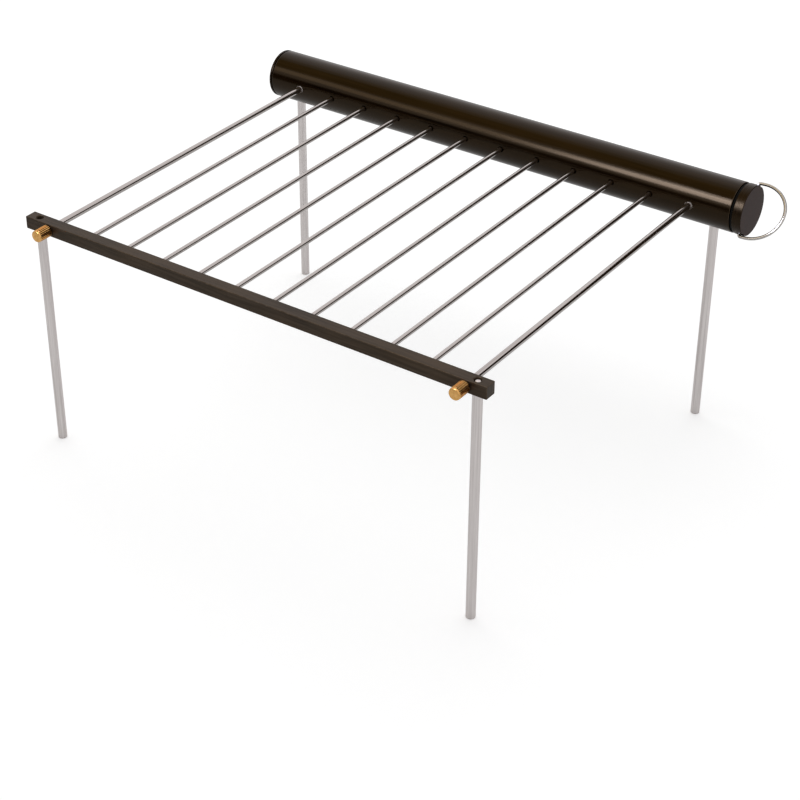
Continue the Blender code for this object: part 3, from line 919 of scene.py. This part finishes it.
def build_end_plug():
    """The pressed-in plug: a rim band flush with the tube, and its spigot."""
    low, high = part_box("end_plug")
    length = high.x - low.x
    spigot = TUBE_BORE_RADIUS - GAP
    profile = (
        (0.0, 0.0),
        (0.0, TUBE_RADIUS, PLUG_EDGE),
        (PLUG_HEAD, TUBE_RADIUS, SEAM_EDGE),
        (PLUG_HEAD, spigot),
        (length, spigot, PLUG_EDGE),
        (length, 0.0),
    )
    mesh = turned_mesh("end_plug", profile, TUBE_STEPS, on_tube_axis(low.x), TURNED_FINISH)
    middle = low.x + PLUG_HEAD / 2
    # The rim's outer edge, painted lighter: wear and a painted edge highlight
    paint_faces(mesh, EDGE_WEAR_AND_HIGHLIGHT, lambda at, normal: at.x < middle and SLOPED < -normal.x < FLAT)
    # The faces towards the tube's end, painted near black: painted shade in the seam
    paint_faces(mesh, SEAM_PAINTED_SHADE, lambda at, normal: at.x > middle and normal.x > SLOPED)
    return add_piece("end_plug", [mesh], "grill", "dark_anodised", "end_plug")


# Cap, seal and bail

def add_relief(shape, side):
    """Add to a bmesh the milled slot round one bail hole, open at the cap's face."""
    half = BAIL_RELIEF_WIDTH / 2
    steps = DRILL_STEPS // 2
    outline = [(CAP_HEAD + DRILL_OVERRUN, -half), (CAP_HEAD + DRILL_OVERRUN, half)]
    for step in range(steps + 1):
        angle = math.pi / 2 + math.pi * step / steps
        outline.append((CAP_HEAD - BAIL_TO_FACE + half * math.cos(angle), half * math.sin(angle)))
    rings = []
    for radius in (TUBE_RADIUS - BAIL_RELIEF_DEPTH, TUBE_RADIUS + BAIL_RELIEF_DEPTH):
        rings.append([shape.verts.new((along, across, side * radius)) for along, across in outline])
    inner, outer = rings
    shape.faces.new(inner)
    shape.faces.new(outer)
    for step in range(len(outline)):
        after = (step + 1) % len(outline)
        shape.faces.new((inner[step], inner[after], outer[after], outer[step]))


def build_screw_cap():
    """The screw cap: a flat turned head, an undercut and a threaded spigot."""
    tip = -CAP_SPIGOT_LENGTH
    thread_end = tip + CAP_THREAD_LENGTH
    profile = (
        (tip, 0.0),
        (tip, CAP_THREAD_ROOT, CAP_EDGE),
        (thread_end, CAP_THREAD_ROOT, CAP_EDGE / 2),
        (thread_end, CAP_NECK_RADIUS),
        (0.0, CAP_NECK_RADIUS),
        (0.0, TUBE_RADIUS, CAP_EDGE),
        (CAP_HEAD / 2, TUBE_RADIUS),
        (CAP_HEAD, TUBE_RADIUS, CAP_EDGE),
        (CAP_HEAD, 0.0),
    )
    mesh = turned_mesh("screw_cap", profile, TUBE_STEPS, ALONG_X, TURNED_FINISH)
    paint_faces(mesh, FACE_FINISH, lambda at, normal: at.x > CAP_HEAD / 2 and normal.x > FLAT)
    reliefs = bmesh.new()
    drills = bmesh.new()
    depth = TUBE_RADIUS - BAIL_END_RADIUS + BAIL_HOLE_SPARE
    for side in (-1.0, 1.0):
        add_relief(reliefs, side)
        mouth = Vector((CAP_HEAD - BAIL_TO_FACE, 0.0, side * TUBE_RADIUS))
        add_drill(drills, mouth, Vector((0.0, 0.0, -side)), BAIL_WIRE_RADIUS + GAP, depth)
    mesh = cut(cut(mesh, reliefs), drills)
    ridge = grow_thread(
        shift(tip) @ ALONG_X,
        CAP_THREAD_ROOT,
        CAP_THREAD_LENGTH,
        TURNED_FINISH,
        height=CAP_THREAD_RADIUS - CAP_THREAD_ROOT,
        pitch=CAP_THREAD_PITCH,
        width=CAP_THREAD_WIDTH,
    )
    for part in (mesh, ridge):
        part.transform(CAP_PLACE)
    return add_piece("screw_cap", [mesh, ridge], "cap", "dark_anodised", "screw_cap")


def build_cap_seal():
    """The rubber ring squeezed between the cap's head and the tube."""
    low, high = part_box("cap_seal")
    thick = high.x - low.x
    inner = CAP_NECK_RADIUS + GAP
    outer = (high.z - low.z) / 2
    profile = (
        (0.0, inner, SEAL_EDGE / 2),
        (0.0, outer, SEAL_EDGE),
        (thick, outer, SEAL_EDGE),
        (thick, inner, SEAL_EDGE / 2),
    )
    mesh = turned_mesh("cap_seal", profile, TUBE_STEPS, on_tube_axis(low.x), RUBBER_FINISH)
    return add_piece("cap_seal", [mesh], "seal", "black_rubber", "cap_seal")


def bail_path():
    """Return the wire's centre line: in from one hole, round the loop and into the other."""
    half = [(0.0, BAIL_END_RADIUS)]
    for step in range(BEND_STEPS + 1):
        angle = math.pi / 2 * step / BEND_STEPS
        reach = BAIL_BEND * (1.0 - math.cos(angle))
        half.append((reach, BAIL_HALF_WIDTH - BAIL_BEND + BAIL_BEND * math.sin(angle)))
    for step in range(ARC_STEPS // 2):
        angle = math.pi * step / ARC_STEPS
        half.append((BAIL_SIDE + BAIL_ARC * math.sin(angle), BAIL_HALF_WIDTH * math.cos(angle)))
    top = (BAIL_SIDE + BAIL_ARC, 0.0)
    points = half + [top] + [(reach, -across) for reach, across in reversed(half)]
    return [Vector((reach, 0.0, across)) for reach, across in points]


def build_bail():
    """The wire bail, hooked into the cap's two side holes."""
    points = bail_path()
    line = bpy.data.meshes.new("bail_line")
    line.from_pydata(points, [(step, step + 1) for step in range(len(points) - 1)], [])
    hinge = CAP_PLACE @ shift(CAP_HEAD - BAIL_TO_FACE)
    place = hinge @ Matrix.Rotation(BAIL_SWING, 4, "Z")
    settings = {"Radius": BAIL_WIRE_RADIUS, "Sides": WIRE_SIDES, "Finish": WIRE_FINISH}
    wire = grow(WIRE_TREE, place, settings, line)
    return add_piece("cap_bail", [wire], "bail", "bright_wire", "cap_bail")


# Front bar

def build_front_bar():
    """The square bar, drilled for the rods and threaded for the front legs."""
    shape = bmesh.new()
    bmesh.ops.create_cube(shape, size=1.0)
    bmesh.ops.scale(shape, vec=BAR_HIGH - BAR_LOW, verts=shape.verts)
    bmesh.ops.translate(shape, vec=(BAR_LOW + BAR_HIGH) / 2, verts=shape.verts)
    for along in split_span(BAR_LOW.x, BAR_HIGH.x)[1:-1]:
        geometry = shape.verts[:] + shape.edges[:] + shape.faces[:]
        bmesh.ops.bisect_plane(shape, geom=geometry, plane_co=(along, 0.0, 0.0), plane_no=(1.0, 0.0, 0.0))
    outer = [edge for edge in shape.edges if edge.calc_face_angle(0.0) > SHARP_EDGE]
    bmesh.ops.bevel(shape, geom=outer, offset=BAR_EDGE, segments=3, profile=0.5, affect="EDGES")
    mesh = mesh_from(shape, "front_bar")
    mesh.materials.append(BAR_FINISH)
    # The rounded long edges and the end edges, painted lighter: wear and a painted edge highlight
    paint_faces(mesh, EDGE_WEAR_AND_HIGHLIGHT, lambda at, normal: max(map(abs, normal)) < FLAT)
    drills = bmesh.new()
    stud_hole = LEG_STUD_RADIUS + GAP
    for x in CLAMP_ROD_X:
        add_drill(drills, Vector((x, BAR_LOW.y, AXIS_Z)), BACKWARD, CLAMP_NECK_RADIUS + GAP, THROUGH_BAR)
    for x in GRILL_ROD_X:
        add_drill(drills, Vector((x, BAR_HIGH.y, AXIS_Z)), FORWARD, GRILL_ROD_RADIUS + GAP, BAR_ROD_SEAT)
    for x in FRONT_LEG_X:
        add_drill(drills, Vector((x, BAR_Y, BAR_HIGH.z)), DOWNWARD, stud_hole, THROUGH_BAR, LEG_HOLE_EDGE)
    bar = cut(mesh, drills)

    def is_countersink(place, normal):
        """The small cone at the top of each leg hole, painted lighter: wear and painted glints."""
        on_cone = place.z > BAR_HIGH.z - LEG_HOLE_EDGE and SLOPED < normal.z < FLAT
        reach = stud_hole + LEG_HOLE_EDGE
        return on_cone and any(math.hypot(place.x - x, place.y - BAR_Y) < reach for x in FRONT_LEG_X)

    paint_faces(bar, EDGE_WEAR_AND_HIGHLIGHT, is_countersink)
    depth = 2 * BAR_HALF - LEG_HOLE_EDGE
    threads = [grow_leg_hole_thread(x, BAR_Y, BAR_LOW.z, depth, BAR_FINISH) for x in FRONT_LEG_X]
    return add_piece("front_bar", [bar, *threads], "grill", "dark_anodised", "front_bar")


# Rods

def build_grill_rods():
    """The ten thin rods that lie between the bar and the tube."""
    low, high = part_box(GRILL_RODS[0])
    settings = {
        "Count": len(GRILL_RODS),
        "Pitch": GRILL_ROD_X[1] - GRILL_ROD_X[0],
        "Radius": GRILL_ROD_RADIUS,
        "Length": high.y - low.y,
        "Chamfer": ROD_CHAMFER,
        "Sides": ROD_STEPS,
        "Finish": ROD_FINISH,
    }
    row = grow(ROD_ROW_TREE, shift(GRILL_ROD_X[0], low.y, AXIS_Z) @ ALONG_Y, settings)
    return add_piece("grill_rods", [row], "grill", "polished_stainless", *GRILL_RODS)


def build_clamp_rod(node):
    """One thick outer rod: its shank, its threaded neck and its threaded rear end."""
    low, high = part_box(node)
    shoulder = BAR_HIGH.y + GAP
    root = CLAMP_NECK_RADIUS - FINE_RIDGE
    rear_root = CLAMP_ROD_RADIUS - FINE_RIDGE
    thread_start = high.y - CLAMP_THREAD_LENGTH
    profile = (
        (low.y, 0.0),
        (low.y, root, ROD_CHAMFER),
        (shoulder, root),
        (shoulder, CLAMP_ROD_RADIUS, ROD_CHAMFER / 2),
        (thread_start, CLAMP_ROD_RADIUS),
        (thread_start + FINE_RIDGE, rear_root),
        (high.y, rear_root, ROD_CHAMFER),
        (high.y, 0.0),
    )
    place = shift(box_middle(node).x, 0.0, AXIS_Z) @ ALONG_Y
    pieces = [turned_mesh(node, profile, ROD_STEPS, place, ROD_FINISH)]
    for start, radius, length in (
        (low.y + ROD_CHAMFER, root, shoulder - low.y - 2 * ROD_CHAMFER),
        (thread_start, rear_root, CLAMP_THREAD_LENGTH - ROD_CHAMFER),
    ):
        pieces.append(grow_thread(moved_on(place, start), radius, length, ROD_FINISH))
    return add_piece(node, pieces, "grill", "polished_stainless", node)


# Legs and nuts

def build_leg(node, body, shoulder):
    """One leg: a plain shank with a threaded stud above its shoulder."""
    low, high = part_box(node)
    profile = (
        (low.z, 0.0),
        (low.z, LEG_RADIUS, LEG_EDGE),
        (shoulder, LEG_RADIUS, LEG_EDGE / 2),
        (shoulder, LEG_STUD_ROOT),
        (high.z, LEG_STUD_ROOT, LEG_STUD_EDGE),
        (high.z, 0.0),
    )
    centre = box_middle(node)
    place = shift(centre.x, centre.y)
    shank = turned_mesh(node, profile, ROD_STEPS, place, LEG_FINISH)
    at_stud = moved_on(place, shoulder + LEG_EDGE)
    length = high.z - shoulder - 2 * LEG_EDGE
    ridge = grow_thread(at_stud, LEG_STUD_ROOT, length, LEG_FINISH, height=LEG_STUD_RADIUS - LEG_STUD_ROOT)
    return add_piece(node, [shank, ridge], body, "satin_stainless", node)


def build_thumb_nut(node, body):
    """One blind nut: a plain front rim, straight ridges and a threaded bore."""
    low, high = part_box(node)
    length = high.y - low.y
    bore = CLAMP_NECK_RADIUS + GAP
    bore_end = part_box(CLAMP_RODS[0])[0].y - low.y - NUT_BORE_SPARE
    profile = (
        (0.0, 0.0),
        (0.0, NUT_RIM_RADIUS, NUT_EDGE),
        (NUT_PLAIN_RIM, NUT_RIM_RADIUS, NUT_RIM_EDGE),
        (NUT_PLAIN_RIM + NUT_RIM_STEP, NUT_CORE_RADIUS),
        (length, NUT_CORE_RADIUS, NUT_EDGE / 2),
        (length, bore, NUT_BORE_EDGE),
        (bore_end, bore),
        (bore_end, 0.0),
    )
    centre = box_middle(node)
    place = shift(centre.x, low.y, AXIS_Z) @ ALONG_Y
    core = turned_mesh(node, profile, NUT_STEPS, place, BRASS_FINISH)

    def is_groove(place, normal):
        """The core between the ridges, painted near black as shade between them."""
        outside = math.hypot(place.x - centre.x, place.z - AXIS_Z) > (bore + NUT_CORE_RADIUS) / 2
        return outside and place.y > low.y + NUT_PLAIN_RIM and abs(normal.y) < FLAT

    paint_faces(core, GROOVE_PAINTED_SHADE, is_groove)
    ridge_pitch = math.tau * NUT_CORE_RADIUS / NUT_RIDGES
    settings = {
        "Count": NUT_RIDGES,
        "Radius": NUT_CORE_RADIUS,
        "Length": length - NUT_PLAIN_RIM - NUT_EDGE / 2,
        "Ridge Height": NUT_RADIUS - NUT_CORE_RADIUS,
        "Ridge Width": ridge_pitch * NUT_RIDGE_SHARE,
        "Crest Width": ridge_pitch * NUT_CREST_SHARE,
        "End Taper": NUT_RIDGE_TAPER,
        "Finish": BRASS_FINISH,
    }
    ridges = grow(KNURL_TREE, moved_on(place, NUT_PLAIN_RIM), settings)
    in_bore = moved_on(place, bore_end + NUT_THREAD_LEAD)
    thread = grow_thread(in_bore, bore, length - bore_end - 2 * NUT_THREAD_LEAD, BRASS_FINISH, inside=True)
    return add_piece(node, [core, ridges, thread], body, "brass", node)


# Studio

FLOOR_REACH = 12.0
FLOOR_COLOUR = (0.80, 0.80, 0.80, 1.0)
NEAR_FLOOR_LIFT = 0.39
FAR_FLOOR_LIFT = 0.56
WORLD_LIGHT = 0.55
ROOM_IN_GLOSS = (0.93, 0.895, 0.90)
OVERHEAD_PLACE = Vector((-0.5, 0.7, 2.2))
OVERHEAD_SIZE = 2.2
OVERHEAD_RADIANCE = 1.4
WHITE = (1.0, 1.0, 1.0)
STRIP_COLOUR = (1.0, 1.08, 1.42)
DIM_STRIP_COLOUR = (1.0, 0.86, 0.66)
SET_MIDDLE = Vector((0.0, 0.0, 0.10))


def start_set_material(name):
    """Return a material for the set and its emptied tree."""
    material = bpy.data.materials.new(name)
    material.use_nodes = True
    material.node_tree.nodes.clear()
    return material, material.node_tree


def add_sheet(name, low, high, material):
    """Put a level or upright sheet into the scene, from one corner to the opposite one."""
    (left, front, bottom), (right, back, top) = low, high
    if bottom == top:
        corners = [low, (right, front, bottom), high, (left, back, bottom)]
    else:
        corners = [low, (right, back, bottom), high, (left, front, top)]
    mesh = bpy.data.meshes.new(name)
    mesh.from_pydata(corners, [], [(0, 1, 2, 3)])
    mesh.materials.append(material)
    return put_in_scene(name, mesh)


def build_floor():
    """The pale floor, which lifts to white where it is seen and keeps the shadow."""
    material, tree = start_set_material("pale_floor")
    paper = result_of(tree, "ShaderNodeBsdfDiffuse", {"Color": FLOOR_COLOUR})
    away = vector_length(tree, object_place(tree))
    evened = spread(tree, away, NEAR_FLOOR_LIFT, FAR_FLOOR_LIFT, start=0.6, end=2.6)
    seen = add_node(tree, "ShaderNodeLightPath").outputs["Is Camera Ray"]
    lift = multiply(tree, seen, evened)
    glow = result_of(tree, "ShaderNodeEmission", {"Strength": lift})
    both = result_of(tree, "ShaderNodeAddShader", {0: paper, 1: glow})
    add_node(tree, "ShaderNodeOutputMaterial", {"Surface": both})
    floor = add_sheet("floor", (-FLOOR_REACH, -FLOOR_REACH, 0.0), (FLOOR_REACH, FLOOR_REACH, 0.0), material)


def build_card(name, low, high, shade):
    """A card seen only in reflections, which gives glossy metal its dark and tinted lines."""
    material, tree = start_set_material(name)
    paper = result_of(tree, "ShaderNodeEmission", {"Color": (*shade, 1.0)})
    add_node(tree, "ShaderNodeOutputMaterial", {"Surface": paper})
    card = add_sheet(name, low, high, material)
    for kind in ("camera", "diffuse", "shadow", "transmission", "volume_scatter"):
        setattr(card, f"visible_{kind}", False)


def build_lamp(name, place, target, width, height, radiance, colour, mirrored):
    """A soft rectangular lamp that faces a target, for gloss to mirror or else for matt surfaces."""
    lamp = bpy.data.lights.new(name, "AREA")
    lamp.shape = "RECTANGLE"
    lamp.color = colour
    lamp.size = width
    lamp.size_y = height
    lamp.energy = radiance * math.pi * width * height
    item = put_in_scene(name, lamp)
    item.location = place
    item.rotation_euler = (target - place).to_track_quat("-Z", "Y").to_euler()
    item.visible_camera = False
    item.visible_glossy = mirrored
    item.visible_diffuse = not mirrored
    return item


def keep_light_to(items, lamps):
    """Let lamps reach only some pieces, so that the tube doesn't mirror lit rods as bright lines."""
    lit = bpy.data.collections.new("lit_by_strips")
    for item in items:
        lit.objects.link(item)
    for lamp in lamps:
        lamp.light_linking.receiver_collection = lit


def build_world():
    """Even light all round, which the camera, gloss and glass see as a pale room."""
    world = bpy.data.worlds.new("studio")
    world.use_nodes = True
    tree = world.node_tree
    path = add_node(tree, "ShaderNodeLightPath").outputs
    seen = add_math(tree, "MAXIMUM", path["Is Camera Ray"], path["Is Glossy Ray"])
    seen = add_math(tree, "MAXIMUM", seen, path["Is Transmission Ray"])
    extra = multiply(tree, seen, 1.0 - WORLD_LIGHT)
    feed(tree, tree.nodes["Background"], {
        "Color": mix_colours(tree, path["Is Glossy Ray"], WHITE, ROOM_IN_GLOSS),
        "Strength": add_math(tree, "ADD", extra, WORLD_LIGHT),
    })
    bpy.context.scene.world = world


def build_camera():
    """The camera at the photograph's place and angle."""
    backward = CAMERA_RIGHT.cross(CAMERA_UP).normalized()
    up = backward.cross(CAMERA_RIGHT.normalized())
    turn = Matrix((CAMERA_RIGHT.normalized(), up, backward)).transposed()
    camera = bpy.data.cameras.new("photo_camera")
    camera.lens = CAMERA_LENS
    camera.sensor_width = CAMERA_SENSOR
    camera.sensor_fit = "HORIZONTAL"
    camera.shift_x, camera.shift_y = CAMERA_SHIFT
    camera.clip_start = CAMERA_CLIP
    item = put_in_scene("photo_camera", camera)
    item.matrix_world = Matrix.Translation(box_middle("tube") + CAMERA_FROM_TUBE) @ turn.to_4x4()
    bpy.context.scene.camera = item


# Strip lamps: degrees left of the front, degrees above the horizon, distance, width,
# height, radiance and colour
STRIPS = {
    "front_strip": (13.5, 32.0, 1.7, 0.78, 0.45, 13.0, STRIP_COLOUR),
    "dim_strip": (38.0, 30.0, 1.9, 1.1, 0.42, 1.4, DIM_STRIP_COLOUR),
    "upper_strip": (15.0, 43.5, 1.8, 0.55, 0.42, 10.0, STRIP_COLOUR),
}

# Cards: one corner, the opposite corner and the shade
CARDS = {
    "front_card": ((-1.35, -0.55, 0.0), (0.10, -1.15, 0.41), (0.0, 0.0, 0.0)),
    "rear_card": ((0.12, 0.80, 0.0), (1.25, 0.80, 0.78), (0.020, 0.012, 0.007)),
    "low_card": ((-0.15, 0.55, 0.0), (0.10, 0.55, 0.12), (0.45, 0.43, 0.43)),
    "ceiling_card": ((-1.8, -0.95, 1.455), (-0.15, 0.15, 1.455), (0.60, 0.44, 0.17)),
    "pale_ceiling_card": ((-1.8, 0.15, 1.455), (-0.15, 0.50, 1.455), (0.78, 0.70, 0.56)),
}


def heading(angle_left_of_front, elevation, distance):
    """Return a place seen from the tube at an angle left of the front and above the horizon."""
    left = math.radians(angle_left_of_front)
    rise = math.radians(elevation)
    flat = Vector((-math.sin(left), -math.cos(left), 0.0)) * math.cos(rise)
    return TUBE_CENTRE + (flat + Vector((0.0, 0.0, math.sin(rise)))) * distance


def build_studio(glossy_pieces):
    """Floor, even light, an overhead lamp, and the strip lamps and cards that gloss mirrors."""
    build_floor()
    build_world()
    size = OVERHEAD_SIZE
    build_lamp("overhead", OVERHEAD_PLACE, SET_MIDDLE, size, size, OVERHEAD_RADIANCE, WHITE, mirrored=False)
    strips = []
    for name, (left, above, distance, *light) in STRIPS.items():
        strips.append(build_lamp(name, heading(left, above, distance), TUBE_CENTRE, *light, mirrored=True))
    keep_light_to(glossy_pieces, strips)
    for name, card in CARDS.items():
        build_card(name, *card)
    build_camera()
    bpy.context.scene.view_settings.view_transform = "Standard"


# The grill

glossy = [build_tube(), build_end_plug(), build_screw_cap(), build_bail(), build_front_bar()]
glossy += [build_thumb_nut(f"thumb_nut_{side}", f"nut_{side}") for side in ("left", "right")]
build_cap_seal()
build_grill_rods()
for rod in CLAMP_RODS:
    build_clamp_rod(rod)
for leg in FRONT_LEGS:
    build_leg(leg, leg.replace("leg_front", "front_leg"), BAR_LOW.z - GAP)
for leg in REAR_LEGS:
    build_leg(leg, leg.replace("leg_rear", "rear_leg"), TUBE_BOTTOM - GAP)
build_studio(glossy)
